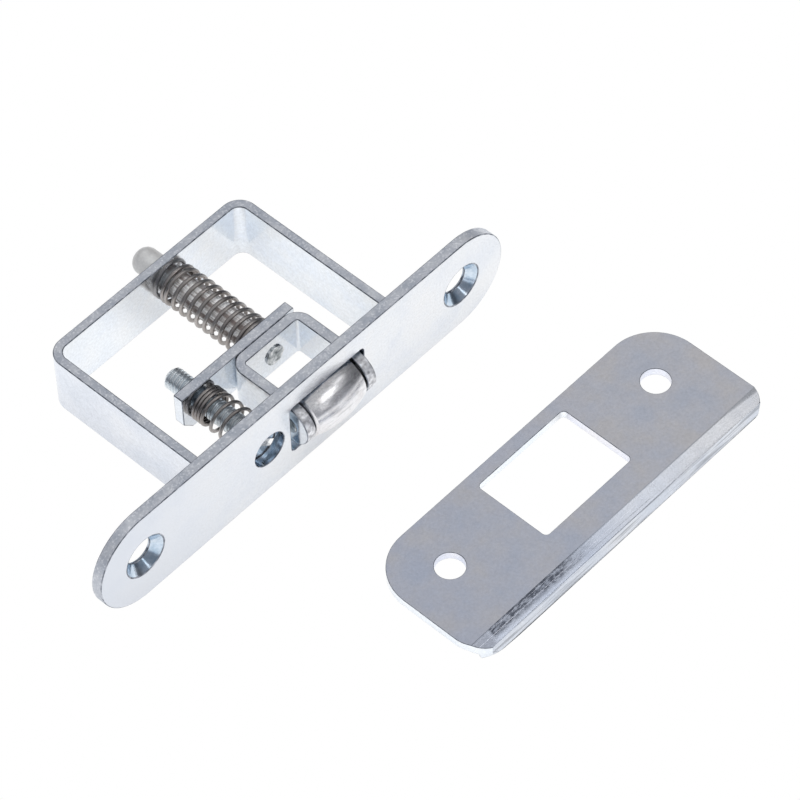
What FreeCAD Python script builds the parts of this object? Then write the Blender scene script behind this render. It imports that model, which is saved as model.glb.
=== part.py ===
import FreeCAD, Part
import math
import os
import re

import Sketcher
from FreeCAD import Vector

# Adjustable roller catch with its strike plate, millimetres.
# Origin: midway between the two screw holes, on the faceplate's back face, which seats
# in the door's edge. +X runs along the faceplate, +Y goes into the door, +Z is up as the
# catch lies. Depths in the pieces' own drawings are counted from the faceplate's front.

SIZES = {
    # Faceplate
    "plate_length": 90.0,
    "plate_width": 19.0,
    "plate_thickness": 2.0,
    "screw_spacing": 71.0,
    "screw_bore": 4.8,
    "sink_width": 8.0,
    "sink_angle": 90.0,
    "access_bore": 6.4,
    "slot_offset": 4.72,
    "slot_length": 16.65,
    "slot_width": 10.6,
    "slot_corner": 0.8,
    # Where the adjusting screw, the guide pin and the roller sit along the faceplate
    "adjuster_offset": 8.3,
    "pin_offset": 5.6,
    "roller_offset": 5.05,
    # Bent strap that makes the frame
    "strap_thickness": 1.6,
    "strap_width": 11.5,
    "strap_span": 43.6,
    "strap_reach": 34.1,
    "strap_shift": 0.6,
    "strap_bend": 1.8,
    "tenon_width": 6.5,
    # Roller and axle
    "axle_depth": 1.2,
    "axle_width": 3.0,
    "rivet_stand": 0.1,
    "rivet_round": 0.08,
    "roller_length": 11.2,
    "roller_crown": 10.0,
    "roller_end": 8.2,
    "roller_edge": 0.35,
    "running_gap": 0.05,
    # Roller bracket
    "bracket_inside": 11.8,
    "bracket_thickness": 1.9,
    "bracket_height": 8.0,
    "bracket_reach": 13.1,
    "bracket_bend": 0.5,
    "bracket_shoulder": 3.0,
    # Carrier bar
    "carrier_length": 25.0,
    "carrier_thickness": 1.9,
    "carrier_shift": 0.3,
    "carrier_chamfer": 1.8,
    # Guide pin
    "pin_body": 4.8,
    "pin_neck": 3.2,
    "pin_length": 26.4,
    "pin_round": 1.9,
    "stake_width": 3.7,
    "stake_stand": 0.3,
    "guide_gap": 0.1,
    # Adjusting screw
    "stop_gap": 0.05,
    "head_width": 8.0,
    "head_height": 1.8,
    "driver_slot": 1.3,
    "driver_depth": 0.9,
    "driver_turn": 43.0,
    "shank_width": 3.9,
    "shank_length": 17.6,
    "shank_chamfer": 0.5,
    # Springs
    "main_coil": 7.5,
    "main_wire": 0.7,
    "main_turns": 12.0,
    "main_closed": 1.5,
    "adjust_coil": 6.6,
    "adjust_wire": 0.6,
    "adjust_turns": 8.0,
    "adjust_closed_head": 1.0,
    "adjust_closed_carrier": 3.5,
    # Strike plate
    "strike_length": 67.0,
    "strike_width": 21.7,
    "strike_thickness": 1.6,
    "strike_back_corner": 8.5,
    "strike_front_corner": 3.0,
    "window_length": 20.0,
    "window_width": 14.3,
    "window_corner": 0.8,
    "window_centre": 12.15,
    "strike_hole_centre": 12.25,
    "strike_spacing": 48.0,
    "strike_bore": 5.0,
    "lip_first": 2.5,
    "lip_first_angle": 24.0,
    "lip_second": 1.9,
    "lip_second_angle": 74.0,
    "strike_x": 21.3,
    "strike_y": 44.7,
}

AXIS = {"x": Vector(1, 0, 0), "y": Vector(0, 1, 0), "z": Vector(0, 0, 1)}
NEAR = 0.01
TINY = 1e-6
# Springs: sections along each turn, sides of the wire, and wire widths between closed coils
SEGMENTS_PER_TURN = 14
WIRE_SIDES = 6
CLOSED_PITCH = 1.02

doc = FreeCAD.newDocument("RollerCatch")
sheet = doc.addObject("Spreadsheet::Sheet", "sizes")


def fill_sheet():
    for row, (name, size) in enumerate(SIZES.items(), 1):
        sheet.set("A%d" % row, name)
        sheet.set("B%d" % row, str(size))
        sheet.setAlias("B%d" % row, name)
    doc.recompute()


def cell_name(word):
    return "sizes." + word if word in SIZES else word


def expression(text):
    """Point each size's name in a formula at its cell."""
    return re.sub("[a-z_]+", lambda word: cell_name(word.group()), text)


def value(text):
    return float(sheet.evalExpression(expression(text)))


def bind(target, prop, text):
    target.setExpression(prop, expression(text))


# Sketches

def new_body(name):
    return doc.addObject("PartDesign::Body", name)


def new_sketch(body, name, plane):
    sketch = body.newObject("Sketcher::SketchObject", name)
    support = next(item for item in body.Origin.OriginFeatures if item.Role == plane)
    sketch.AttachmentSupport = [(support, "")]
    sketch.MapMode = "FlatFace"
    return sketch


def constrain(sketch, kind, *where, size):
    index = sketch.addConstraint(Sketcher.Constraint(kind, *where, value(size)))
    bind(sketch, "Constraints[%d]" % index, size)


def pin_point(sketch, edge, end, x, y):
    constrain(sketch, "DistanceX", -1, 1, edge, end, size=x)
    constrain(sketch, "DistanceY", -1, 1, edge, end, size=y)


def draw_outline(sketch, corners):
    """Closed run of straight edges; corners are pairs of formulas."""
    points = [Vector(value(x), value(y), 0) for x, y in corners]
    edges = []
    for start, end in zip(points, points[1:] + points[:1]):
        edges.append(sketch.addGeometry(Part.LineSegment(start, end), False))
    for edge, following in zip(edges, edges[1:] + edges[:1]):
        sketch.addConstraint(Sketcher.Constraint("Coincident", edge, 2, following, 1))
    for edge, (x, y) in zip(edges, corners):
        pin_point(sketch, edge, 1, x, y)


def draw_rectangle(sketch, left, right, low, high):
    draw_outline(sketch, [(left, low), (right, low), (right, high), (left, high)])


def draw_circle(sketch, x, y, diameter):
    centre = Vector(value(x), value(y), 0)
    radius = diameter + " / 2"
    circle = sketch.addGeometry(Part.Circle(centre, AXIS["z"], value(radius)), False)
    constrain(sketch, "Radius", circle, size=radius)
    pin_point(sketch, circle, 3, x, y)


def draw_stadium(sketch, left, right, radius):
    """Two parallel edges joined by half circles about the left and right centres."""
    x0, x1, r = value(left), value(right), value(radius)
    half = math.pi / 2
    cap_right = Part.ArcOfCircle(Part.Circle(Vector(x1, 0, 0), AXIS["z"], r), -half, half)
    cap_left = Part.ArcOfCircle(Part.Circle(Vector(x0, 0, 0), AXIS["z"], r), half, 3 * half)
    top = sketch.addGeometry(Part.LineSegment(Vector(x0, r, 0), Vector(x1, r, 0)), False)
    first = sketch.addGeometry(cap_right, False)
    bottom = sketch.addGeometry(Part.LineSegment(Vector(x1, -r, 0), Vector(x0, -r, 0)), False)
    second = sketch.addGeometry(cap_left, False)
    for one, end, other, start in ((top, 2, first, 2), (first, 1, bottom, 1),
                                   (bottom, 2, second, 2), (second, 1, top, 1)):
        sketch.addConstraint(Sketcher.Constraint("Tangent", one, end, other, start))
    constrain(sketch, "Radius", first, size=radius)
    pin_point(sketch, first, 3, right, "0")
    pin_point(sketch, second, 3, left, "0")


# Features

def finish_feature(body, feature, adds):
    """Recompute, and check that the feature changed the volume the right way."""
    before = body.Shape.Volume if body.Shape.Solids else 0.0
    doc.recompute()
    change = body.Shape.Volume - before
    if (change > 0) != adds or abs(change) < TINY:
        raise ValueError("%s changed the volume by %g" % (feature.Name, change))
    return feature


def pad(body, sketch, length, middle=False, back=False):
    feature = body.newObject("PartDesign::Pad", sketch.Name + "Pad")
    feature.Profile = sketch
    feature.Midplane = middle
    feature.Reversed = back
    bind(feature, "Length", length)
    return finish_feature(body, feature, adds=True)


def pocket_through(body, sketch):
    feature = body.newObject("PartDesign::Pocket", sketch.Name + "Pocket")
    feature.Profile = sketch
    feature.Type = "ThroughAll"
    feature.Midplane = True
    return finish_feature(body, feature, adds=False)


def revolve(body, sketch, axis):
    feature = body.newObject("PartDesign::Revolution", sketch.Name + "Turned")
    feature.Profile = sketch
    feature.ReferenceAxis = (sketch, [axis])
    feature.Angle = 360.0
    return finish_feature(body, feature, adds=True)


def straight_edges(shape, direction, keep):
    """Names of the straight edges along a direction whose middle passes a test."""
    names = []
    for number, edge in enumerate(shape.Edges, 1):
        if edge.Curve.TypeId != "Part::GeomLine":
            continue
        if abs(abs(edge.Curve.Direction.dot(AXIS[direction])) - 1) > TINY:
            continue
        if keep(edge.CenterOfMass):
            names.append("Edge%d" % number)
    return names


def round_edges(shape, keep):
    """Names of the circular edges whose centre of mass passes a test."""
    return ["Edge%d" % number for number, edge in enumerate(shape.Edges, 1)
            if edge.Curve.TypeId == "Part::GeomCircle" and keep(edge)]


def soften(body, kind, name, edges, prop, size):
    if not edges:
        raise ValueError("no edge for " + name)
    base = body.Tip
    feature = body.newObject("PartDesign::" + kind, name)
    feature.Base = (base, edges)
    bind(feature, prop, size)
    doc.recompute()
    return feature


def fillet(body, name, edges, size):
    return soften(body, "Fillet", name, edges, "Radius", size)


def chamfer(body, name, edges, size):
    return soften(body, "Chamfer", name, edges, "Size", size)


def place(target, label, x="0", y="0", z="0"):
    """Name a piece and set it in the row's frame, from its depth behind the faceplate's front."""
    target.Label = label
    for axis, size in zip("xyz", (x, y + " - plate_thickness", z)):
        bind(target, "Placement.Base." + axis, size)
    return target


def common(name, first, second):
    feature = doc.addObject("Part::Common", name)
    feature.Base = first
    feature.Tool = second
    doc.recompute()
    return feature


# Heights along Y that several pieces share
HEAD_FRONT = "plate_thickness + stop_gap"
HEAD_BACK = HEAD_FRONT + " + head_height"
CARRIER_FRONT = "axle_depth + bracket_reach"
CARRIER_BACK = CARRIER_FRONT + " + carrier_thickness"
STRAP_BACK = "plate_thickness + strap_reach"
STRAP_INNER = STRAP_BACK + " - strap_thickness"
STRAP_LEFT = "strap_shift - strap_span / 2"
STRAP_RIGHT = "strap_shift + strap_span / 2"
BRACKET_OUTSIDE = "( bracket_inside + 2 * bracket_thickness )"

# How far the strike's lip reaches out from its bend line, and how far it drops
LIP_REACH = "lip_first * cos( lip_first_angle ) + lip_second * cos( lip_second_angle )"
LIP_DROP = ("lip_first * sin( lip_first_angle ) + lip_second * sin( lip_second_angle )"
            " + strike_thickness * cos( lip_second_angle )")


def tenon_rectangles():
    """Left and right limits in X of the strap's two arms."""
    return [(STRAP_LEFT, STRAP_LEFT + " + strap_thickness"),
            (STRAP_RIGHT + " - strap_thickness", STRAP_RIGHT)]


# Root body: faceplate, frame and strike plate

def make_faceplate():
    body = new_body("Faceplate")
    outline = new_sketch(body, "PlateOutline", "XZ_Plane")
    end = "( plate_length - plate_width ) / 2"
    draw_stadium(outline, "- " + end, end, "plate_width / 2")
    pad(body, outline, "plate_thickness", back=True)
    openings = new_sketch(body, "PlateOpenings", "XZ_Plane")
    draw_circle(openings, "- adjuster_offset", "0", "access_bore")
    draw_rectangle(openings, "slot_offset - slot_length / 2", "slot_offset + slot_length / 2",
                   "- slot_width / 2", "slot_width / 2")
    for left, right in tenon_rectangles():
        draw_rectangle(openings, left, right, "- tenon_width / 2", "tenon_width / 2")
    pocket_through(body, openings)
    slot_centre = value("slot_offset")
    slot_reach = value("slot_length") / 2 + NEAR
    corners = straight_edges(body.Shape, "y", lambda c: abs(c.x - slot_centre) < slot_reach)
    fillet(body, "SlotCorners", corners, "slot_corner")
    sink_screws(body)
    return place(body, "faceplate")


def sink_screws(body):
    """Two countersunk screw holes, open to the front."""
    centres = new_sketch(body, "ScrewCentres", "XZ_Plane")
    for side in ("- screw_spacing / 2", "screw_spacing / 2"):
        draw_circle(centres, side, "0", "screw_bore")
    doc.recompute()
    before = body.Shape.Volume
    hole = body.newObject("PartDesign::Hole", "ScrewHoles")
    hole.Profile = centres
    doc.recompute()
    hole.DepthType = "ThroughAll"
    hole.HoleCutType = "Countersink"
    hole.HoleCutCustomValues = True
    bind(hole, "Diameter", "screw_bore")
    bind(hole, "HoleCutDiameter", "sink_width")
    bind(hole, "HoleCutCountersinkAngle", "sink_angle")
    doc.recompute()
    if body.Shape.Volume >= before:
        raise ValueError("the screw holes cut nothing")


def make_frame_strap():
    body = new_body("FrameStrap")
    profile = new_sketch(body, "StrapProfile", "XY_Plane")
    inner_left = STRAP_LEFT + " + strap_thickness"
    inner_right = STRAP_RIGHT + " - strap_thickness"
    draw_outline(profile, [
        (STRAP_LEFT, "plate_thickness"), (STRAP_LEFT, STRAP_BACK), (STRAP_RIGHT, STRAP_BACK),
        (STRAP_RIGHT, "plate_thickness"), (inner_right, "plate_thickness"),
        (inner_right, STRAP_INNER), (inner_left, STRAP_INNER), (inner_left, "plate_thickness")])
    pad(body, profile, "strap_width", middle=True)
    back, inner = value(STRAP_BACK), value(STRAP_INNER)
    outside = straight_edges(body.Shape, "z", lambda c: abs(c.y - back) < NEAR)
    fillet(body, "StrapOuterBends", outside, "strap_bend + strap_thickness")
    inside = straight_edges(body.Shape, "z", lambda c: abs(c.y - inner) < NEAR)
    fillet(body, "StrapInnerBends", inside, "strap_bend")
    tenons = new_sketch(body, "StrapTenons", "XY_Plane")
    for left, right in tenon_rectangles():
        draw_rectangle(tenons, left, right, "0", "plate_thickness")
    pad(body, tenons, "tenon_width", middle=True)
    guide = new_sketch(body, "GuideHole", "XZ_Plane")
    draw_circle(guide, "pin_offset", "0", "( pin_body + 2 * guide_gap )")
    pocket_through(body, guide)
    return place(body, "frame_strap")


def lip_corners():
    """Cross-section of the strike plate: flat, then a lip that turns down in two bends."""
    first, second = "lip_first_angle", "lip_second_angle"
    turn = "( ( lip_first_angle + lip_second_angle ) / 2 )"
    mitre = "strike_thickness / cos( ( lip_second_angle - lip_first_angle ) / 2 )"
    bend_y = "- lip_first * cos( %s )" % first
    bend_z = "- lip_first * sin( %s )" % first
    tip_y = bend_y + " - lip_second * cos( %s )" % second
    tip_z = bend_z + " - lip_second * sin( %s )" % second
    return [
        ("strike_width", "0"), ("0", "0"), (bend_y, bend_z), (tip_y, tip_z),
        (tip_y + " + strike_thickness * sin( %s )" % second,
         tip_z + " - strike_thickness * cos( %s )" % second),
        (bend_y + " + %s * sin%s" % (mitre, turn), bend_z + " - %s * cos%s" % (mitre, turn)),
        ("strike_thickness * tan( lip_first_angle / 2 )", "- strike_thickness"),
        ("strike_width", "- strike_thickness")]


def make_strike_plan():
    """Outline from above with the window and both screw holes, deeper than the lip."""
    body = new_body("StrikePlan")
    outline = new_sketch(body, "StrikeOutline", "XY_Plane")
    draw_rectangle(outline, "- strike_length / 2", "strike_length / 2",
                   "- ( %s )" % LIP_REACH, "strike_width")
    draw_rectangle(outline, "- window_length / 2", "window_length / 2",
                   "window_centre - window_width / 2", "window_centre + window_width / 2")
    for side in ("- strike_spacing / 2", "strike_spacing / 2"):
        draw_circle(outline, side, "strike_hole_centre", "strike_bore")
    pad(body, outline, "2 * ( lip_first + lip_second + strike_thickness )", middle=True)
    width, reach = value("strike_width"), value("window_length") / 2 + NEAR
    back = straight_edges(body.Shape, "z", lambda c: abs(c.y - width) < NEAR)
    fillet(body, "StrikeBackCorners", back, "strike_back_corner")
    window = straight_edges(body.Shape, "z", lambda c: abs(c.x) < reach)
    fillet(body, "WindowCorners", window, "window_corner")
    front = straight_edges(body.Shape, "z", lambda c: c.y < 0)
    fillet(body, "StrikeFrontCorners", front, "strike_front_corner")
    return body


def make_strike_plate():
    plan = make_strike_plan()
    section = new_body("StrikeSection")
    profile = new_sketch(section, "LipProfile", "YZ_Plane")
    draw_outline(profile, lip_corners())
    pad(section, profile, "strike_length", middle=True)
    strike = common("StrikePlate", section, plan)
    return place(strike, "strike_plate", "strike_x", "- strike_y",
                 LIP_DROP + " - plate_width / 2")


# Sliding carriage: carrier bar, roller bracket, guide pin and axle

def make_carrier():
    body = new_body("Carrier")
    outline = new_sketch(body, "CarrierOutline", "XZ_Plane")
    left = "- carrier_shift - carrier_length / 2"
    right = "carrier_length / 2 - carrier_shift"
    low, high = "- bracket_height / 2", "bracket_height / 2"
    draw_outline(outline, [
        (left + " + carrier_chamfer", low), (right, low), (right, high), (left, high),
        (left, low + " + carrier_chamfer")])
    pad(body, outline, "carrier_thickness", back=True)
    holes = new_sketch(body, "CarrierHoles", "XZ_Plane")
    draw_circle(holes, "pin_offset", "0", "pin_neck")
    draw_circle(holes, "- adjuster_offset", "0", "( shank_width + 2 * running_gap )")
    pocket_through(body, holes)
    return place(body, "carrier", y=CARRIER_FRONT)


def make_bracket_strip():
    """U-bent strip, drawn about the axle, with the axle holes and the pin hole."""
    body = new_body("BracketStrip")
    profile = new_sketch(body, "BracketProfile", "XY_Plane")
    outside, inside = BRACKET_OUTSIDE + " / 2", "bracket_inside / 2"
    front, floor = "- bracket_height / 2", "bracket_reach - bracket_thickness"
    draw_outline(profile, [
        ("- " + outside, front), ("- " + inside, front), ("- " + inside, floor),
        (inside, floor), (inside, front), (outside, front), (outside, "bracket_reach"),
        ("- " + outside, "bracket_reach")])
    pad(body, profile, "bracket_height", middle=True)
    back, wall = value("bracket_reach"), value(floor)
    bends = straight_edges(body.Shape, "z", lambda c: abs(c.y - back) < NEAR)
    fillet(body, "BracketOuterBends", bends, "bracket_shoulder")
    bends = straight_edges(body.Shape, "z", lambda c: abs(c.y - wall) < NEAR)
    fillet(body, "BracketInnerBends", bends, "bracket_bend")
    axle = new_sketch(body, "AxleHoles", "YZ_Plane")
    draw_circle(axle, "0", "0", "axle_width")
    pocket_through(body, axle)
    pin = new_sketch(body, "PinHole", "XZ_Plane")
    draw_circle(pin, "pin_offset - roller_offset", "0", "pin_neck")
    pocket_through(body, pin)
    return body


def make_roller_bracket():
    strip = make_bracket_strip()
    side = new_body("BracketSide")
    outline = new_sketch(side, "ArmOutline", "YZ_Plane")
    draw_stadium(outline, "0", "bracket_reach + bracket_height / 2", "bracket_height / 2")
    pad(side, outline, "2 * " + BRACKET_OUTSIDE, middle=True)
    bracket = common("RollerBracket", strip, side)
    return place(bracket, "roller_bracket", "roller_offset", "axle_depth")


def make_guide_pin():
    """Turned pin: a stout body behind the carrier, a thin neck staked inside the bracket."""
    body = new_body("GuidePin")
    profile = new_sketch(body, "PinProfile", "XY_Plane")
    stake = "- carrier_thickness - bracket_thickness"
    end = stake + " - stake_stand"
    draw_outline(profile, [
        ("0", end), ("stake_width / 2", end), ("stake_width / 2", stake), ("pin_neck / 2", stake),
        ("pin_neck / 2", "0"), ("pin_body / 2", "0"), ("pin_body / 2", "pin_length"),
        ("0", "pin_length")])
    revolve(body, profile, "V_Axis")
    tip = value("pin_length")
    edges = round_edges(body.Shape, lambda edge: abs(edge.CenterOfMass.y - tip) < NEAR)
    fillet(body, "PinTip", edges, "pin_round")
    return place(body, "guide_pin", "pin_offset", CARRIER_BACK)


def make_roller_axle():
    body = new_body("RollerAxle")
    section = new_sketch(body, "AxleSection", "YZ_Plane")
    draw_circle(section, "0", "0", "axle_width")
    pad(body, section, BRACKET_OUTSIDE + " + 2 * rivet_stand", middle=True)
    ends = round_edges(body.Shape, lambda edge: True)
    chamfer(body, "AxleEnds", ends, "rivet_round")
    return place(body, "roller_axle", "roller_offset", "axle_depth")


# Turning pieces

def make_roller():
    """Barrel roller turned about its bore; the crown is one long arc."""
    body = new_body("Roller")
    profile = new_sketch(body, "RollerProfile", "XY_Plane")
    half, bore = "roller_length / 2", "( axle_width / 2 + running_gap )"
    end, crown = "roller_end / 2", "roller_crown / 2"
    rise = "( roller_crown - roller_end ) / 2"
    reach, low, high, top = value(half), value(bore), value(end), value(crown)
    sides = [Part.LineSegment(Vector(reach, high, 0), Vector(reach, low, 0)),
             Part.LineSegment(Vector(reach, low, 0), Vector(-reach, low, 0)),
             Part.LineSegment(Vector(-reach, low, 0), Vector(-reach, high, 0))]
    edges = [profile.addGeometry(side, False) for side in sides]
    arc = Part.Arc(Vector(reach, high, 0), Vector(0, top, 0), Vector(-reach, high, 0))
    arc_edge = profile.addGeometry(arc, False)
    for one, end_one, other, end_other in ((edges[0], 2, edges[1], 1), (edges[1], 2, edges[2], 1),
                                           (edges[2], 2, arc_edge, 2), (arc_edge, 1, edges[0], 1)):
        profile.addConstraint(Sketcher.Constraint("Coincident", one, end_one, other, end_other))
    pin_point(profile, edges[0], 1, half, end)
    pin_point(profile, edges[0], 2, half, bore)
    pin_point(profile, edges[1], 2, "- " + half, bore)
    pin_point(profile, edges[2], 2, "- " + half, end)
    radius = "( %s * %s + %s * %s ) / ( 2 * %s )" % ("( " + half + " )", "( " + half + " )",
                                                  rise, rise, rise)
    constrain(profile, "Radius", arc_edge, size=radius)
    revolve(body, profile, "H_Axis")
    rim = value(end)
    edges = round_edges(body.Shape, lambda edge: abs(edge.Curve.Radius - rim) < NEAR)
    chamfer(body, "RollerEdges", edges, "roller_edge")
    return place(body, "roller", "roller_offset", "axle_depth")


def make_adjusting_screw():
    """Flat-headed screw with a driver slot; the head bears on the faceplate's back."""
    body = new_body("AdjustingScrew")
    profile = new_sketch(body, "ScrewProfile", "XY_Plane")
    tip = "head_height + shank_length"
    draw_outline(profile, [
        ("0", "0"), ("head_width / 2", "0"), ("head_width / 2", "head_height"),
        ("shank_width / 2", "head_height"), ("shank_width / 2", tip), ("0", tip)])
    revolve(body, profile, "V_Axis")
    end = value(tip)
    edges = round_edges(body.Shape, lambda edge: abs(edge.CenterOfMass.y - end) < NEAR)
    chamfer(body, "ShankEnd", edges, "shank_chamfer")
    slot = new_sketch(body, "DriverSlot", "YZ_Plane")
    draw_rectangle(slot, "- driver_depth", "driver_depth", "- driver_slot / 2", "driver_slot / 2")
    pocket_through(body, slot)
    body.Placement.Rotation = FreeCAD.Rotation(AXIS["y"], 0)
    bind(body, "Placement.Rotation.Angle", "driver_turn")
    return place(body, "adjusting_screw", "- adjuster_offset", HEAD_FRONT)


# Springs

def spring_height(turn, length, wire, turns, closed_start, closed_end):
    """How far along the axis the wire's centre is after so many turns."""
    tight = CLOSED_PITCH * wire
    free = turns - closed_start - closed_end
    pitch = (length - wire - (closed_start + closed_end) * tight) / free
    closed = min(turn, closed_start) + max(turn - closed_start - free, 0)
    return wire / 2 + tight * closed + pitch * min(max(turn - closed_start, 0), free)


def wire_section(turn, radius, height, wire):
    """Section of the wire, square to the coil, after so many turns."""
    angle = 2 * math.pi * turn
    outward = Vector(math.cos(angle), 0, math.sin(angle))
    centre = outward * radius + AXIS["y"] * height
    reach = wire / 2 / math.cos(math.pi / WIRE_SIDES)
    ring = []
    for side in range(WIRE_SIDES):
        around = 2 * math.pi * (side + 0.5) / WIRE_SIDES
        ring.append(centre + outward * (reach * math.cos(around)) + AXIS["y"] * (reach * math.sin(around)))
    return Part.makePolygon(ring + ring[:1])


def make_spring(label, coil, wire, turns, closed_start, closed_end, x, start, end):
    """Compression spring along Y with closed coils at both ends."""
    size, count = value(wire), value(turns)
    radius = (value(coil) - size) / 2
    length = value(end) - value(start)
    steps = int(round(count * SEGMENTS_PER_TURN))
    sections = []
    for step in range(steps + 1):
        turn = step * count / steps
        height = spring_height(turn, length, size, count, value(closed_start), value(closed_end))
        sections.append(wire_section(turn, radius, height, size))
    feature = doc.addObject("Part::Feature", label)
    feature.Shape = Part.makeLoft(sections, True, True)
    return place(feature, label, x, start)


def make_springs():
    main = make_spring("main_spring", "main_coil", "main_wire", "main_turns", "main_closed",
                       "main_closed", "pin_offset", CARRIER_BACK, STRAP_INNER)
    adjust = make_spring("adjusting_spring", "adjust_coil", "adjust_wire", "adjust_turns",
                         "adjust_closed_head", "adjust_closed_carrier", "- adjuster_offset",
                         HEAD_BACK, CARRIER_FRONT)
    return [main, adjust]


# Build, check and write

def check(pieces):
    doc.recompute()
    for item in doc.Objects:
        if "Invalid" in item.State or "Error" in item.State:
            raise ValueError("%s did not recompute: %s" % (item.Name, item.State))
    for piece in pieces:
        shape = piece.Shape
        if shape.isNull() or not shape.isValid() or len(shape.Solids) != 1:
            raise ValueError("%s has no valid single solid" % piece.Label)


def write(pieces):
    os.makedirs("parts", exist_ok=True)
    for piece in pieces:
        piece.Shape.exportStep("parts/%s.step" % piece.Label)
        print("%-18s %10.2f mm3" % (piece.Label, piece.Shape.Volume))


fill_sheet()
PIECES = [make_faceplate(), make_frame_strap(), make_strike_plate(), make_carrier(),
          make_roller_bracket(), make_guide_pin(), make_roller_axle(), make_roller(),
          make_adjusting_screw()] + make_springs()
check(PIECES)
write(PIECES)
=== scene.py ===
import math

import bmesh
import bpy
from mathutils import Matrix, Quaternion, Vector


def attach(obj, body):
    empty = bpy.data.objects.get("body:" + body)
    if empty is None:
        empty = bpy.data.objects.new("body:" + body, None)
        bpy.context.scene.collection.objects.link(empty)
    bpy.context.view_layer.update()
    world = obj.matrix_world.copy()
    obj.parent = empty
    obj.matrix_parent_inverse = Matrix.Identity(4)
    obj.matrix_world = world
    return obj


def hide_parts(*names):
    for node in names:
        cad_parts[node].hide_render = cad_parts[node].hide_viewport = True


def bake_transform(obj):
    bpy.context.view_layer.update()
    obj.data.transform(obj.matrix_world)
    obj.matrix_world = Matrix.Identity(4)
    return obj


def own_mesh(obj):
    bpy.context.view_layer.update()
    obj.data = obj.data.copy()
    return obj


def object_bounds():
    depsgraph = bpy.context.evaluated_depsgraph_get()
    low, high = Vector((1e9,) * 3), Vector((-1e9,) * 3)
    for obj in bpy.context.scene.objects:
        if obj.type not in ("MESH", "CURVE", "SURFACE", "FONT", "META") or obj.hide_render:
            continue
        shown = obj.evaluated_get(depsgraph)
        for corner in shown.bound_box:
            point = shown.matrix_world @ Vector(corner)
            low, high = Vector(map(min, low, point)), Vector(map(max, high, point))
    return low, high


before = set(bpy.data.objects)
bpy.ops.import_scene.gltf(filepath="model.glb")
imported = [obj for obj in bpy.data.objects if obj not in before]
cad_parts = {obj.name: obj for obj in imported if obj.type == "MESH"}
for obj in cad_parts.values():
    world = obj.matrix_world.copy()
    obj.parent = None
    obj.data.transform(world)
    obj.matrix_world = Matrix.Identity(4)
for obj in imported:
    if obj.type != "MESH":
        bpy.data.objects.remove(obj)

CAD_BOX = [list(corner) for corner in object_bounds()]
MM = 0.001

# Edges that turn more than SHARP are eased, and facets that turn less than FLAT are one face
SHARP = math.radians(30)
FLAT = math.radians(0.6)
MERGE = 0.001 * MM


def node_box(node):
    """Lowest and highest corner of a CAD piece, in millimetres."""
    points = [v.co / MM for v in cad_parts[node].data.vertices]
    return [Vector(pick(p[i] for p in points) for i in range(3)) for pick in (min, max)]


# Places that several pieces share, in millimetres
STRAP_THICKNESS = 1.6
HEAD_HEIGHT = 1.8
SCREW_LOW, SCREW_HIGH = node_box("adjusting_screw")
SCREW_X = (SCREW_LOW.x + SCREW_HIGH.x) / 2
HEAD_BACK = SCREW_LOW.y + HEAD_HEIGHT
PIN_LOW, PIN_HIGH = node_box("guide_pin")
PIN_X = (PIN_LOW.x + PIN_HIGH.x) / 2
CARRIER_LOW, CARRIER_HIGH = node_box("carrier")
STRAP_LOW, STRAP_HIGH = node_box("frame_strap")
STRAP_MIDDLE = (STRAP_LOW + STRAP_HIGH) / 2
STRAP_INNER = STRAP_HIGH.y - STRAP_THICKNESS
BRACKET_LOW, BRACKET_HIGH = node_box("roller_bracket")
AXLE_LOW, AXLE_HIGH = node_box("roller_axle")
AXLE_Y = (AXLE_LOW.y + AXLE_HIGH.y) / 2
STRIKE_LOW, STRIKE_HIGH = node_box("strike_plate")
STRIKE_X = (STRIKE_LOW.x + STRIKE_HIGH.x) / 2


# Node helpers

def fill_ramp(node, stops):
    """Set a colour ramp from places, each with a colour or a single grey value."""
    elements = node.color_ramp.elements
    while len(elements) < len(stops):
        elements.new(0.5)
    for element, (position, colour) in zip(elements, stops):
        element.position = position
        element.color = (*colour, 1.0) if isinstance(colour, tuple) else (colour, colour, colour, 1.0)


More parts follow.
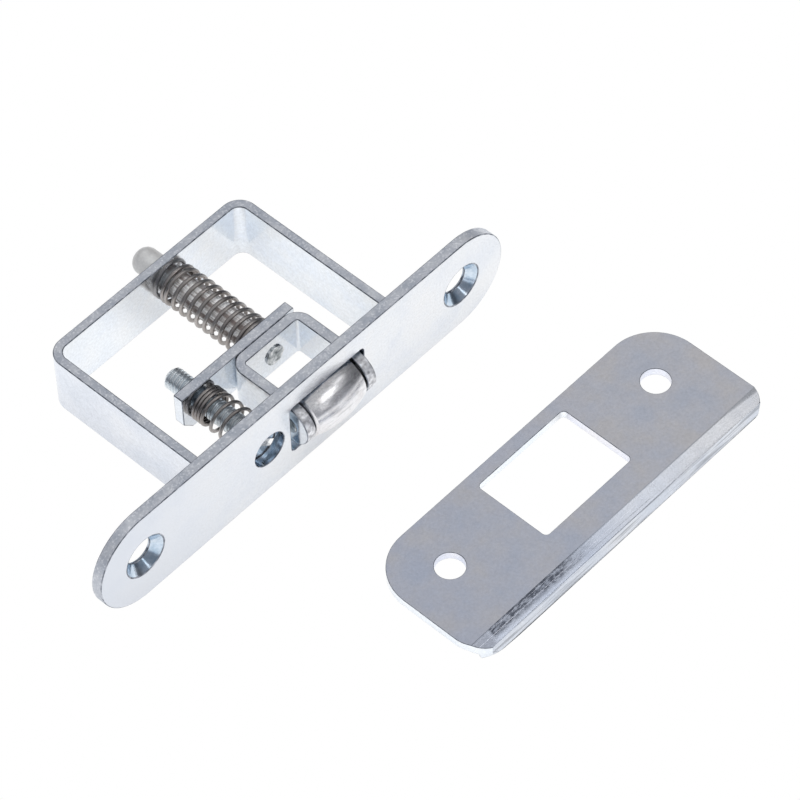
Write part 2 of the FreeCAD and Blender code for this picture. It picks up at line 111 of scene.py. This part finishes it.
class Shader:
    """Small wrapper that adds nodes to a material's tree and joins them."""

    def __init__(self, name):
        self.material = bpy.data.materials.new(name)
        self.material.use_nodes = True
        self.tree = self.material.node_tree
        self.surface = self.tree.nodes["Principled BSDF"]
        self.place = self.add("ShaderNodeTexCoord").outputs["Object"]

    def add(self, kind, **settings):
        node = self.tree.nodes.new(kind)
        for key, setting in settings.items():
            setattr(node, key, setting)
        return node

    def join(self, source, target):
        self.tree.links.new(source, target)

    def feed(self, given, socket):
        """Join another node's output to a socket, or set the socket's own value."""
        if isinstance(given, bpy.types.NodeSocket):
            self.join(given, socket)
        elif isinstance(given, tuple):
            socket.default_value = (*given, 1.0)
        else:
            socket.default_value = given

    def noise(self, scale, detail, rough, stretch=None):
        """Noise with features of a size counted in features per millimetre."""
        node = self.add("ShaderNodeTexNoise")
        node.inputs["Scale"].default_value = scale / MM
        node.inputs["Detail"].default_value = detail
        node.inputs["Roughness"].default_value = rough
        place = self.place
        if stretch:
            mapping = self.add("ShaderNodeMapping")
            mapping.inputs["Scale"].default_value = stretch
            self.join(self.place, mapping.inputs["Vector"])
            place = mapping.outputs["Vector"]
        self.join(place, node.inputs["Vector"])
        return node.outputs["Fac"]

    def ramp(self, factor, stops):
        node = self.add("ShaderNodeValToRGB")
        fill_ramp(node, stops)
        self.join(factor, node.inputs["Fac"])
        return node.outputs["Color"]

    def mix(self, factor, first, second, blend="MIX"):
        node = self.add("ShaderNodeMix", data_type="RGBA", blend_type=blend)
        for given, socket in ((factor, node.inputs[0]), (first, node.inputs[6]), (second, node.inputs[7])):
            self.feed(given, socket)
        return node.outputs[2]

    def times(self, first, second):
        node = self.add("ShaderNodeMath", operation="MULTIPLY")
        self.feed(first, node.inputs[0])
        self.feed(second, node.inputs[1])
        return node.outputs[0]

    def across(self, axis, low, high):
        """0 to 1 along one of the part's axes, between two places in millimetres."""
        split = self.add("ShaderNodeSeparateXYZ")
        self.join(self.place, split.inputs[0])
        span = self.add("ShaderNodeMapRange")
        span.inputs["From Min"].default_value = low * MM
        span.inputs["From Max"].default_value = high * MM
        self.join(split.outputs[axis.upper()], span.inputs["Value"])
        return span.outputs["Result"]

    def bump(self, height, distance_mm):
        node = self.add("ShaderNodeBump")
        node.inputs["Strength"].default_value = 1.0
        node.inputs["Distance"].default_value = distance_mm * MM
        self.join(height, node.inputs["Height"])
        return node.outputs["Normal"]

    def cover(self, factor, tone, blend="MIX"):
        """Lay a tone over the base colour that the surface has so far."""
        target = self.surface.inputs["Base Color"]
        self.join(self.mix(factor, target.links[0].from_socket, tone, blend), target)

    def shade(self, tone):
        """Multiply the base colour that the surface has so far by a tone."""
        self.cover(1.0, tone, "MULTIPLY")


# Metals: each has the colours of its slow patches, from the darkest to the lightest

ZINC = ((0.77, 0.795, 0.84), (0.82, 0.835, 0.86), (0.84, 0.845, 0.855))
STRIP = ((0.83, 0.88, 0.95), (0.88, 0.915, 0.955), (0.91, 0.93, 0.95))
# Painted shade: the strap's faces turned away from its middle, darker and bluer than the inside ones
OUTSIDE_PAINTED_SHADE = ((0.72, 0.76, 0.83), (0.78, 0.81, 0.87), (0.83, 0.85, 0.89))
EDGE = ((0.44, 0.475, 0.54), (0.54, 0.565, 0.62), (0.66, 0.68, 0.72))
# Painted shade: the eased edges are near black, for the dark line along each edge
ARRIS_PAINTED_SHADE = ((0.12, 0.13, 0.16), (0.26, 0.28, 0.32), (0.55, 0.57, 0.62))
SCUFFED = ((0.36, 0.36, 0.38), (0.66, 0.66, 0.68), (0.92, 0.92, 0.94))
# Painted shade: the walls of the holes, darker and bluer than the plate
BORE_PAINTED_SHADE = ((0.40, 0.52, 0.64), (0.56, 0.66, 0.77), (0.76, 0.83, 0.90))
SHEET = ((0.82, 0.86, 0.96), (0.88, 0.89, 0.95), (0.92, 0.90, 0.905))
LIP_EDGE = ((0.60, 0.64, 0.71), (0.66, 0.69, 0.75), (0.72, 0.74, 0.78))
THREAD = ((0.76, 0.85, 0.92), (0.84, 0.90, 0.94), (0.90, 0.93, 0.95))
TURNED = ((0.74, 0.78, 0.83), (0.82, 0.84, 0.87), (0.88, 0.89, 0.90))
STAKED = ((0.10, 0.12, 0.13), (0.46, 0.49, 0.50), (0.98, 0.99, 0.99))
PIN = ((0.50, 0.49, 0.48), (0.58, 0.575, 0.57), (0.66, 0.66, 0.65))
ROLLER = ((0.78, 0.76, 0.765), (0.84, 0.83, 0.84), (0.88, 0.875, 0.89))
SPRING = ((0.34, 0.30, 0.28), (0.42, 0.39, 0.37), (0.52, 0.49, 0.47))

# Stops of the patches, and single tones that are laid over them
PATCH_STOPS = (0.34, 0.5, 0.66)
SPECK_TONE = (0.93, 0.94, 0.97)
# Painted reflection: blue laid over the faceplate's left half
PAINTED_REFLECTION_BLUE = (0.62, 0.65, 0.71)
# Painted reflection: the dark band on the lip's bevel
PAINTED_DARK_REFLECTION = (0.13, 0.14, 0.17)

# Stretches over which a tone changes, in millimetres along X or Y
PLATE_LEFT_HALF = (-45.0, 0.0)
STRIKE_LENGTH = (-12.0, 55.0)
LIP_BEVEL = (-49.0, -46.7)
PIN_STREAK_FADE = 0.8


def metal(name, tints, rough, grain, bump_mm, speck=0.0, patch=0.12, bare=1.0):
    """Metal with slow colour patches, uneven roughness, fine grain and bright specks.

    rough is the roughness from the smoothest to the roughest place, grain and patch count
    features in a millimetre, and bare is under 1 for metal that is dulled.
    """
    s = Shader(name)
    s.surface.inputs["Metallic"].default_value = bare
    colour = s.ramp(s.noise(patch, 4.0, 0.6), list(zip(PATCH_STOPS, tints)))
    fine = s.noise(grain, 4.0, 0.65)
    colour = s.mix(1.0, colour, s.ramp(fine, [(0.3, 0.86), (0.7, 1.0)]), "MULTIPLY")
    if speck:
        pits = s.ramp(s.noise(grain * 0.8, 3.0, 0.6), [(0.52, 0.0), (0.7, 1.0)])
        colour = s.mix(s.times(pits, speck), colour, SPECK_TONE)
    s.join(colour, s.surface.inputs["Base Color"])
    uneven = s.ramp(s.noise(patch * 3.0, 3.0, 0.6), [(0.3, rough[0]), (0.7, rough[1])])
    s.join(uneven, s.surface.inputs["Roughness"])
    s.join(s.bump(fine, bump_mm), s.surface.inputs["Normal"])
    return s


def plate_metal():
    """Zinc sheet with a painted reflection: a little bluer towards the adjuster's end."""
    s = metal("zinc_plate", ZINC, (0.16, 0.24), 2.5, 0.003)
    # Painted reflection: the plate is bluer towards the adjuster's end
    blue = s.ramp(s.across("x", *PLATE_LEFT_HALF), [(0.0, 1.0), (1.0, 0.0)])
    s.cover(s.times(blue, 0.75), PAINTED_REFLECTION_BLUE)
    return s.material


def sheet_metal():
    """The strike's flat face, with painted light: a little lighter and less blue towards its right end."""
    s = metal("strike_sheet", SHEET, (0.18, 0.26), 2.5, 0.003, patch=0.14)
    # Painted light: the sheet is lighter and less blue towards its right end
    s.shade(s.ramp(s.across("x", *STRIKE_LENGTH), [(0.0, (0.88, 0.90, 0.95)), (1.0, (1.0, 0.99, 0.985))]))
    return s.material


def lip_metal():
    """The lip's bevel, with painted reflection: speckled and darker at its left end, pale at its right."""
    s = metal("lip_bevel", ZINC, (0.24, 0.28), 3.0, 0.001)
    along = s.across("x", *STRIKE_LENGTH)
    # Painted reflection: the bevel's tone, darker at its left end and pale at its right
    tone = s.ramp(along, [(0.055, (0.52, 0.54, 0.60)), (0.07, (0.80, 0.84, 0.93)),
                          (0.45, (0.72, 0.76, 0.85)), (0.56, (0.88, 0.90, 0.95)),
                          (1.0, (0.84, 0.83, 0.83))])
    near_bend = s.ramp(s.across("y", *LIP_BEVEL), [(0.15, 0.0), (0.5, 1.0)])
    left = s.ramp(along, [(0.06, 0.0), (0.07, 1.0), (0.3, 1.0), (0.42, 0.0)])
    spots = s.ramp(s.noise(1.3, 3.0, 0.7, (0.6, 1.6, 1.6)), [(0.42, 0.5), (0.56, 1.0)])
    # Painted reflection: a speckled dark band near the bend at the bevel's left end
    streak = s.times(s.times(near_bend, left), spots)
    s.shade(s.mix(streak, tone, PAINTED_DARK_REFLECTION))
    return s.material


def lip_edge_metal():
    """The lip's steep lower face, with faint lines along it."""
    s = metal("lip_edge", LIP_EDGE, (0.2, 0.3), 3.0, 0.006)
    s.shade(s.ramp(s.noise(1.4, 3.0, 0.6, (0.06, 2.0, 2.0)), [(0.4, 0.62), (0.52, 1.0)]))
    return s.material


def roller_metal():
    """Rolled steel: brown-grey mottle with faint lines along the roller."""
    s = metal("roller_steel", ROLLER, (0.2, 0.28), 3.0, 0.005, patch=0.5)
    s.shade(s.ramp(s.noise(1.6, 3.0, 0.7, (0.12, 1.6, 1.6)), [(0.36, 0.84), (0.48, 1.0)]))
    return s.material


def pin_metal():
    """Dull zinc with streaks along it inside the frame: bright ones that are painted highlights, and dark
    brown ones.
    """
    s = metal("dull_pin", PIN, (0.36, 0.5), 3.0, 0.008, patch=0.3, bare=0.35)
    # Painted highlights: bright streaks along the pin, with dark brown streaks, where it shows inside the
    # frame
    streaks_with_highlights = s.ramp(s.noise(0.9, 3.0, 0.6, (1.0, 0.12, 1.0)),
                  [(0.42, (0.26, 0.22, 0.21)), (0.52, (0.62, 0.60, 0.59)), (0.58, (1.0, 1.0, 1.0))])
    inside = s.ramp(s.across("y", STRAP_INNER - PIN_STREAK_FADE, STRAP_INNER), [(0.0, 1.0), (1.0, 0.0)])
    s.cover(inside, streaks_with_highlights)
    return s.material


MATERIALS = {
    "plate": plate_metal(),
    "lip": lip_metal(),
    "lip_edge": lip_edge_metal(),
    "sheet": sheet_metal(),
    # Painted shade inside the faceplate's holes
    "bore": metal("bore_painted_shade", BORE_PAINTED_SHADE, (0.1, 0.18), 2.0, 0.006, patch=0.4).material,
    "strip": metal("zinc_strip", STRIP, (0.12, 0.2), 2.0, 0.003).material,
    # Painted shade on the strap's outside faces
    "outside_painted_shade": metal("strap_outside_painted_shade", OUTSIDE_PAINTED_SHADE, (0.14, 0.24), 2.0, 0.003, patch=0.1).material,
    "edge": metal("cut_edge", EDGE, (0.34, 0.48), 3.2, 0.03, speck=0.65, patch=0.3, bare=0.6).material,
    "arm_end": metal("arm_end", SCUFFED, (0.3, 0.44), 1.6, 0.09, speck=0.7, patch=1.3).material,
    # Painted shade along the eased edges
    "arris": metal("arris", ARRIS_PAINTED_SHADE, (0.3, 0.45), 2.4, 0.01, patch=0.9).material,
    "thread": metal("thread_zinc", THREAD, (0.3, 0.42), 3.0, 0.006).material,
    "turned": metal("turned_zinc", TURNED, (0.22, 0.32), 3.0, 0.006).material,
    "pin": pin_metal(),
    "roller": roller_metal(),
    "spring": metal("spring_steel", SPRING, (0.24, 0.36), 3.0, 0.004).material,
    "stake": metal("staked_end", STAKED, (0.25, 0.4), 0.9, 0.12, speck=0.6, patch=0.9).material,
}


# Mesh helpers

def new_piece(name, mesh, body, replaced):
    """Object that stands for a CAD node; the body is None where a blend moves the piece."""
    piece = bpy.data.objects.new(name, mesh)
    bpy.context.scene.collection.objects.link(piece)
    if body:
        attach(piece, body)
    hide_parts(replaced)
    return piece


def set_materials(mesh, *names):
    mesh.materials.clear()
    for name in names:
        mesh.materials.append(MATERIALS[name])


def add_bevel(piece, width_mm, limit_method):
    bevel = piece.modifiers.new("ease", "BEVEL")
    bevel.width = width_mm * MM
    bevel.segments = 2
    bevel.limit_method = limit_method
    bevel.harden_normals = True
    return bevel


def apply_modifiers(piece):
    """Put the mesh that the modifiers make in place of the piece's own."""
    graph = bpy.context.evaluated_depsgraph_get()
    mesh = bpy.data.meshes.new_from_object(piece.evaluated_get(graph))
    piece.modifiers.clear()
    piece.data = mesh


def grid_mesh(name, rings):
    """Closed skin over rings of points in millimetres, with a flat cap at each end."""
    mesh = bpy.data.meshes.new(name)
    work = bmesh.new()
    rows = [[work.verts.new(Vector(p) * MM) for p in ring] for ring in rings]
    count = len(rows[0])
    for low, high in zip(rows, rows[1:]):
        for i in range(count):
            j = (i + 1) % count
            work.faces.new((low[i], low[j], high[j], high[i]))
    for row in (rows[0][::-1], rows[-1]):
        work.faces.new(row)
    for f in work.faces:
        f.smooth = len(f.verts) == 4
    bmesh.ops.recalc_face_normals(work, faces=work.faces)
    work.to_mesh(mesh)
    work.free()
    return mesh


# Springs: coil and wire diameter in millimetres, turns, and closed turns at the start and the end

MAIN_SPRING = (7.5, 0.7, 12, 1.5, 1.5)
ADJUSTING_SPRING = (6.6, 0.6, 8, 1.0, 3.5)
# Closed turns follow each other at this many wire diameters
CLOSED_PITCH = 1.02
# The main spring is two pieces, which meet after this many turns
SPLIT_TURN = 4.5
STEPS_PER_TURN = 48
WIRE_SIDES = 12


class Coil:
    """Round-wire spring along Y, from one place to another."""

    def __init__(self, coil_mm, wire, turns, closed_start, closed_end, x, start, end):
        self.radius = (coil_mm - wire) / 2
        self.wire = wire
        self.turns = turns
        self.closed_start = closed_start
        self.free = turns - closed_start - closed_end
        self.tight = CLOSED_PITCH * wire
        self.pitch = (end - start - wire - (closed_start + closed_end) * self.tight) / self.free
        self.x = x
        self.start = start

    def y_at(self, turn):
        """Place of the wire's middle after a number of turns."""
        opened = min(max(turn - self.closed_start, 0), self.free)
        closed = turn - opened
        return self.start + self.wire / 2 + self.tight * closed + self.pitch * opened

    def section(self, turn):
        """Ring round the wire after a number of turns."""
        a = 2 * math.pi * turn
        ring = []
        for k in range(WIRE_SIDES):
            b = 2 * math.pi * k / WIRE_SIDES
            r = self.radius + self.wire / 2 * math.cos(b)
            y = self.y_at(turn) + self.wire / 2 * math.sin(b)
            ring.append((self.x + r * math.cos(a), y, r * math.sin(a)))
        return ring

    def mesh(self, name, first, last):
        """The wire from one turn to another."""
        steps = range(int(first * STEPS_PER_TURN), int(last * STEPS_PER_TURN) + 1)
        mesh = grid_mesh(name, [self.section(step / STEPS_PER_TURN) for step in steps])
        set_materials(mesh, "spring")
        return mesh


def make_main_spring():
    """Front turns between the carriage and the adjuster, the rest pressed towards the strap."""
    coil = Coil(*MAIN_SPRING, PIN_X, CARRIER_HIGH.y, STRAP_INNER)
    front_mesh = coil.mesh("main_coils_front", 0, SPLIT_TURN)
    front = new_piece("main_coils_front", front_mesh, None, "main_spring")
    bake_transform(front)
    back_mesh = coil.mesh("main_coils_back", SPLIT_TURN, coil.turns)
    back = new_piece("main_coils_back", back_mesh, "housing", "main_spring")
    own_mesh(back)


def make_adjusting_spring():
    """Spring from the screw's head to the carriage, with open turns between closed ones."""
    coil = Coil(*ADJUSTING_SPRING, SCREW_X, HEAD_BACK, CARRIER_LOW.y)
    mesh = coil.mesh("adjusting_coils", 0, coil.turns)
    piece = new_piece("adjusting_coils", mesh, None, "adjusting_spring")
    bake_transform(piece)


make_main_spring()
make_adjusting_spring()


# Adjusting screw: head from the CAD, shank with a rolled thread; sizes in millimetres

THREAD_CREST = 1.93
THREAD_DEPTH = 0.36
THREAD_PITCH = 0.7
THREAD_SIDES = 72
STEPS_PER_PITCH = 10
THREAD_FLAT = 1.6
THREAD_FLANK = 3.4
SHANK_IN_HEAD = 0.2
HEAD_MARGIN = 0.1
TIP_CHAMFER = 0.5
HEAD_EASE = 0.2


def thread_radius(y, turned):
    """Radius of the thread at a place along it and a part of a turn round it."""
    phase = (y / THREAD_PITCH + turned) % 1.0
    rise = min(1.0, max(0.0, THREAD_FLAT - THREAD_FLANK * abs(phase - 0.5)))
    within_chamfer = THREAD_CREST - (TIP_CHAMFER - (SCREW_HIGH.y - y))
    return min(THREAD_CREST - THREAD_DEPTH + THREAD_DEPTH * rise, within_chamfer)


def threaded_shank():
    """Skin over rings whose radius rises and falls once a pitch."""
    start = HEAD_BACK - SHANK_IN_HEAD
    length = SCREW_HIGH.y - start
    steps = round(length / THREAD_PITCH * STEPS_PER_PITCH)
    rings = []
    for step in range(steps + 1):
        y = start + length * step / steps
        ring = []
        for k in range(THREAD_SIDES):
            a = 2 * math.pi * k / THREAD_SIDES
            r = thread_radius(y, k / THREAD_SIDES)
            ring.append((SCREW_X + r * math.cos(a), y, r * math.sin(a)))
        rings.append(ring)
    return grid_mesh("screw_thread", rings)


def screw_head():
    """The CAD screw without its plain shank."""
    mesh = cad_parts["adjusting_screw"].data.copy()
    work = bmesh.new()
    work.from_mesh(mesh)
    bmesh.ops.remove_doubles(work, verts=work.verts, dist=MERGE)
    shank = [v for v in work.verts if v.co.y > (HEAD_BACK + HEAD_MARGIN) * MM]
    bmesh.ops.delete(work, geom=shank, context="VERTS")
    for f in work.faces:
        f.smooth = True
    for e in work.edges:
        e.smooth = len(e.link_faces) == 2 and e.calc_face_angle() < SHARP
    work.to_mesh(mesh)
    work.free()
    return mesh


def make_screw():
    head = screw_head()
    set_materials(head, "turned")
    piece = new_piece("screw_head", head, "screw", "adjusting_screw")
    bevel = add_bevel(piece, HEAD_EASE, "ANGLE")
    bevel.angle_limit = SHARP
    apply_modifiers(piece)
    thread = threaded_shank()
    set_materials(thread, "thread")
    new_piece("screw_thread", thread, "screw", "adjusting_screw")


make_screw()


# Plates and strips, with eased edges; sizes in millimetres

EDGE_EASE = 0.15
STRIKE_EASE = 0.09

PLATE_HIGH = node_box("faceplate")[1]
PLATE_RADIUS = PLATE_HIGH.z
PLATE_STRAIGHT = PLATE_HIGH.x - PLATE_RADIUS
RIM_DEPTH = 0.3

TENON_HALF = 3.4
TENON_REACH = 0.1

# The strike's reach between its rounded ends, the depth of its long edges, and the lip's shape
END_ZONE = 6.0
STRIKE_REACH = (STRIKE_HIGH.x - STRIKE_LOW.x) / 2 - END_ZONE
EDGE_ZONE = 5.0
LIP_STEEP = 1.5
LIP_BOTTOM_ZONE = 0.5
LIP_ANGLE = math.radians(24.0)
LIP_NORMAL = Vector((0.0, -math.sin(LIP_ANGLE), math.cos(LIP_ANGLE)))
LIP_CORNER = 5.5
CORNER_CUT_STEP = 8
CORNER_MERGE = 0.01

# Limits that tell a face's direction from one part of its normal
ON_BEVEL = 0.995
ALONG = 0.9
MOSTLY = 0.7
PARTLY = 0.5
ACROSS = 0.3


def mark_edges(work, stays_sharp):
    """Flag the sharp edges, and weight for the bevel all of them but those that stay sharp."""
    weight = work.edges.layers.float.new("bevel_weight_edge")
    for e in work.edges:
        sharp = len(e.link_faces) != 2 or e.calc_face_angle() > SHARP
        e.smooth = not sharp
        middle = (e.verts[0].co + e.verts[1].co) / 2 / MM
        e[weight] = float(sharp and not (stays_sharp and stays_sharp(middle)))


def eased(node, body, finishes, finish_of, width_mm=EDGE_EASE, stays_sharp=None, reshape=None):
    """Copy of a CAD plate with eased edges, which are painted dark as shade; finish_of names each face's
    finish.
    """
    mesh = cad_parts[node].data.copy()
    set_materials(mesh, *finishes, "arris")
    work = bmesh.new()
    work.from_mesh(mesh)
    bmesh.ops.remove_doubles(work, verts=work.verts, dist=MERGE)
    if reshape:
        reshape(work)
    bmesh.ops.dissolve_limit(work, angle_limit=FLAT, verts=work.verts, edges=work.edges)
    for f in work.faces:
        f.smooth = True
        f.material_index = finishes.index(finish_of(f.normal, f.calc_center_median() / MM))
    mark_edges(work, stays_sharp)
    work.to_mesh(mesh)
    work.free()
    piece = new_piece(node + "_eased", mesh, body, node)
    bevel = add_bevel(piece, width_mm, "WEIGHT")
    # Painted shade: the bevel's faces take the dark arris material
    bevel.material = len(finishes)
    bevel.use_clamp_overlap = False
    # Broad faces stay flat beside their eased edges
    flat = piece.modifiers.new("flat", "WEIGHTED_NORMAL")
    flat.keep_sharp = True
    flat.weight = 100
    apply_modifiers(piece)


def plate_finish(normal, centre):
    """The rim all round is a cut edge, and the walls of the holes get painted shade: darker and bluer."""
    if abs(normal.y) > ALONG:
        return "plate"
    from_middle = math.hypot(max(abs(centre.x) - PLATE_STRAIGHT, 0.0), centre.z)
    return "edge" if from_middle > PLATE_RADIUS - RIM_DEPTH else "bore"


def strike_finish(normal, centre):
    """The lip's bevel, its steep face and the cut edges all round have their own finishes."""
    if normal.dot(LIP_NORMAL) > ON_BEVEL:
        return "lip"
    if normal.y < -ALONG and centre.y < STRIKE_LOW.y + LIP_STEEP:
        return "lip_edge"
    at_rim = abs(centre.x - STRIKE_X) > STRIKE_REACH or centre.y > STRIKE_HIGH.y - EDGE_ZONE
    return "strip" if at_rim and abs(normal.z) < ACROSS else "sheet"


def strap_finish(normal, centre):
    """The strip's long edges are cut, its tenons end flush in the faceplate's front, and the faces that
    look away from its middle get painted shade.
    """
    if centre.y < 0.0:
        return "plate"
    if abs(normal.z) > MOSTLY:
        return "edge"
    # Painted shade: the faces that look away from the strap's middle are darker
    return "outside_painted_shade" if normal.dot(centre - STRAP_MIDDLE) > 0.0 else "strip"


def carrier_finish(normal, centre):
    """The bar's faces above and below are cut edges."""
    return "edge" if abs(normal.z) > MOSTLY else "strip"


def bracket_finish(normal, centre):
    """The strip's edges are cut, and its front ends are scuffed."""
    if abs(normal.x) > ACROSS:
        return "strip"
    if centre.y < AXLE_Y:
        return "arm_end"
    return "edge" if abs(normal.z) > PARTLY else "strip"


def round_lip_corner(work):
    """Widen the plan corner at the lip's left end; points move along X alone, so the bends stay."""
    middle = Vector((STRIKE_LOW.x + LIP_CORNER, STRIKE_LOW.y + LIP_CORNER))
    lowest = STRIKE_LOW.y + CORNER_MERGE
    cuts = {round(v.co.y / MM, 3) for v in work.verts if lowest < v.co.y / MM < middle.y}
    cuts.update(middle.y - LIP_CORNER * math.sin(math.radians(angle))
                for angle in range(5, 90, CORNER_CUT_STEP))
    for y in sorted(cuts):
        bmesh.ops.bisect_plane(work, geom=[*work.verts, *work.edges, *work.faces],
                               plane_co=(0.0, y * MM, 0.0), plane_no=(0.0, 1.0, 0.0))
    for v in work.verts:
        ahead = middle.y - v.co.y / MM
        if ahead > 0.0:
            outline = middle.x - math.sqrt(max(LIP_CORNER ** 2 - ahead ** 2, 0.0))
            v.co.x = max(v.co.x, outline * MM)
    bmesh.ops.remove_doubles(work, verts=work.verts, dist=CORNER_MERGE * MM)
    bmesh.ops.dissolve_degenerate(work, edges=work.edges, dist=CORNER_MERGE * MM)


def at_tenon(place):
    """True on the front line of a tenon or of the hole that it fills."""
    half = STRAP_THICKNESS / 2
    from_middle = min(abs(place.x - STRAP_LOW.x - half), abs(place.x - STRAP_HIGH.x + half))
    at_line = min(from_middle, abs(from_middle - half)) < TENON_REACH
    return place.y < 0.0 and abs(place.z) < TENON_HALF and at_line


def at_bend(place):
    """True on the lines of the lip's two bends, between its corners."""
    between_corners = abs(place.x - STRIKE_X) < STRIKE_REACH
    in_lip = place.y < STRIKE_LOW.y + EDGE_ZONE and place.z > STRIKE_LOW.z + LIP_BOTTOM_ZONE
    return between_corners and in_lip


eased("faceplate", "housing", ("plate", "edge", "bore"), plate_finish, stays_sharp=at_tenon)
eased("strike_plate", "housing", ("sheet", "lip", "lip_edge", "strip"), strike_finish,
      width_mm=STRIKE_EASE, stays_sharp=at_bend, reshape=round_lip_corner)
eased("frame_strap", "housing", ("strip", "edge", "plate", "outside_painted_shade"), strap_finish,
      stays_sharp=at_tenon)
eased("carrier", "carriage", ("strip", "edge"), carrier_finish)
eased("roller_bracket", "carriage", ("strip", "edge", "arm_end"), bracket_finish)


# Turned pieces as they come from the CAD

def dress(node, material, other=None, is_other=None):
    """Give a CAD piece its material, and another where is_other says so."""
    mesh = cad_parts[node].data
    set_materials(mesh, *[name for name in (material, other) if name])
    for polygon in mesh.polygons:
        polygon.use_smooth = True
        polygon.material_index = int(bool(other) and is_other(polygon.center / MM))


dress("guide_pin", "pin", "stake", lambda centre: centre.y < CARRIER_LOW.y)
dress("roller_axle", "turned", "stake", lambda centre: not BRACKET_LOW.x < centre.x < BRACKET_HIGH.x)
dress("roller", "roller")


# Stage and light: the camera sees white, and the metal mirrors a soft grey studio

WHITE = (1.0, 1.0, 1.0)
PAPER = (0.42, 0.43, 0.44)
HAZE = (1.0, 0.99, 0.98)
HAZE_STRENGTH = 0.64
FLOOR_SIZE = 4.0
FLOOR_GAP = 0.05 * MM

# Colour of the studio by height of the direction, and how it falls towards the right
UPRIGHT_BAND = [(0.0, (0.80, 0.84, 0.92)), (0.12, (0.29, 0.30, 0.33)), (0.42, (0.29, 0.30, 0.33)),
                (0.66, (0.49, 0.50, 0.52)), (1.0, (0.53, 0.54, 0.56))]
SIDEWAYS_BAND = [(0.0, 1.0), (0.52, 1.0), (0.72, 0.42)]


def coloured(tree, kind, colour):
    node = tree.nodes.new(kind)
    node.inputs["Color"].default_value = (*colour, 1.0)
    return node


def show_camera(tree, seen, rest, output_kind):
    """Output of one shader to the camera and of another to everything else."""
    out = tree.nodes.new(output_kind)
    mix = tree.nodes.new("ShaderNodeMixShader")
    path = tree.nodes.new("ShaderNodeLightPath")
    tree.links.new(path.outputs["Is Camera Ray"], mix.inputs[0])
    tree.links.new(rest.outputs[0], mix.inputs[1])
    tree.links.new(seen.outputs[0], mix.inputs[2])
    tree.links.new(mix.outputs[0], out.inputs[0])


def floor_material():
    """Plain white to the camera, and pale, shaded paper to everything else."""
    material = bpy.data.materials.new("floor_white")
    material.use_nodes = True
    tree = material.node_tree
    tree.nodes.clear()
    paper = coloured(tree, "ShaderNodeBsdfDiffuse", PAPER)
    haze = coloured(tree, "ShaderNodeEmission", HAZE)
    haze.inputs["Strength"].default_value = HAZE_STRENGTH
    both = tree.nodes.new("ShaderNodeAddShader")
    tree.links.new(paper.outputs[0], both.inputs[0])
    tree.links.new(haze.outputs[0], both.inputs[1])
    show_camera(tree, coloured(tree, "ShaderNodeEmission", WHITE), both, "ShaderNodeOutputMaterial")
    return material


def make_floor():
    bpy.ops.mesh.primitive_plane_add(size=FLOOR_SIZE, location=(0, 0, CAD_BOX[0][2] - FLOOR_GAP))
    floor = bpy.context.object
    floor.name = "floor"
    floor.data.materials.append(floor_material())


def studio_colour(tree):
    """The upright band times the sideways band."""
    coords = tree.nodes.new("ShaderNodeTexCoord")
    split = tree.nodes.new("ShaderNodeSeparateXYZ")
    tree.links.new(coords.outputs["Generated"], split.inputs[0])
    both = tree.nodes.new("ShaderNodeMix")
    both.data_type = "RGBA"
    both.blend_type = "MULTIPLY"
    both.inputs[0].default_value = 1.0
    bands = (("Z", UPRIGHT_BAND, both.inputs[6]), ("X", SIDEWAYS_BAND, both.inputs[7]))
    for axis, stops, socket in bands:
        band = tree.nodes.new("ShaderNodeValToRGB")
        fill_ramp(band, stops)
        tree.links.new(split.outputs[axis], band.inputs[0])
        tree.links.new(band.outputs[0], socket)
    return both.outputs[2]


def make_world():
    """White for the camera; for the rest a grey studio, darker low down and to the right."""
    world = bpy.data.worlds.new("studio")
    bpy.context.scene.world = world
    world.use_nodes = True
    tree = world.node_tree
    tree.nodes.clear()
    studio = tree.nodes.new("ShaderNodeBackground")
    tree.links.new(studio_colour(tree), studio.inputs["Color"])
    show_camera(tree, coloured(tree, "ShaderNodeBackground", WHITE), studio, "ShaderNodeOutputWorld")


def softbox(name, place, aim, size, power, mirrored=True):
    """Rectangular light; metal mirrors it unless told otherwise."""
    data = bpy.data.lights.new(name, "AREA")
    data.shape = "RECTANGLE"
    data.size, data.size_y = size
    data.energy = power
    light = bpy.data.objects.new(name, data)
    bpy.context.scene.collection.objects.link(light)
    light.location = place
    light.rotation_mode = "QUATERNION"
    light.rotation_quaternion = (Vector(aim) - Vector(place)).to_track_quat("-Z", "Y")
    light.visible_glossy = mirrored


make_floor()
make_world()
# Each light's place, what it points at and its size are in metres, and its power is in watts
softbox("paper_light", (0.1, -0.1, 0.9), (0.0, 0.0, 0.0), (0.8, 0.8), 7.0, mirrored=False)
softbox("front_window", (0.17, -0.44, 0.5), (0.17, -0.44, 0.0), (0.24, 0.28), 0.38)
softbox("low_window", (0.06, -0.60, 0.29), (0.0, 0.0, 0.0), (0.07, 0.2), 0.06)
softbox("right_window", (0.37, -0.225, 0.5), (0.37, -0.225, 0.0), (0.17, 0.13), 0.07)


# Camera that was fitted to the photo; place and clipping in metres, lens and sensor in millimetres

CAMERA_PLACE = (-0.29238, -0.30826, 0.55505)
CAMERA_TURN = (0.866556, 0.298382, -0.119715, -0.381730)
CAMERA_LENS = 202.5
CAMERA_SENSOR = 36.0
CAMERA_NEAR = 0.01
CAMERA_FAR = 20.0


def make_camera():
    data = bpy.data.cameras.new("camera")
    data.lens = CAMERA_LENS
    data.sensor_width = CAMERA_SENSOR
    data.clip_start = CAMERA_NEAR
    data.clip_end = CAMERA_FAR
    camera = bpy.data.objects.new("camera", data)
    bpy.context.scene.collection.objects.link(camera)
    camera.location = CAMERA_PLACE
    camera.rotation_mode = "QUATERNION"
    camera.rotation_quaternion = Quaternion(CAMERA_TURN)
    bpy.context.scene.camera = camera


make_camera()
bpy.context.scene.view_settings.view_transform = "Standard"
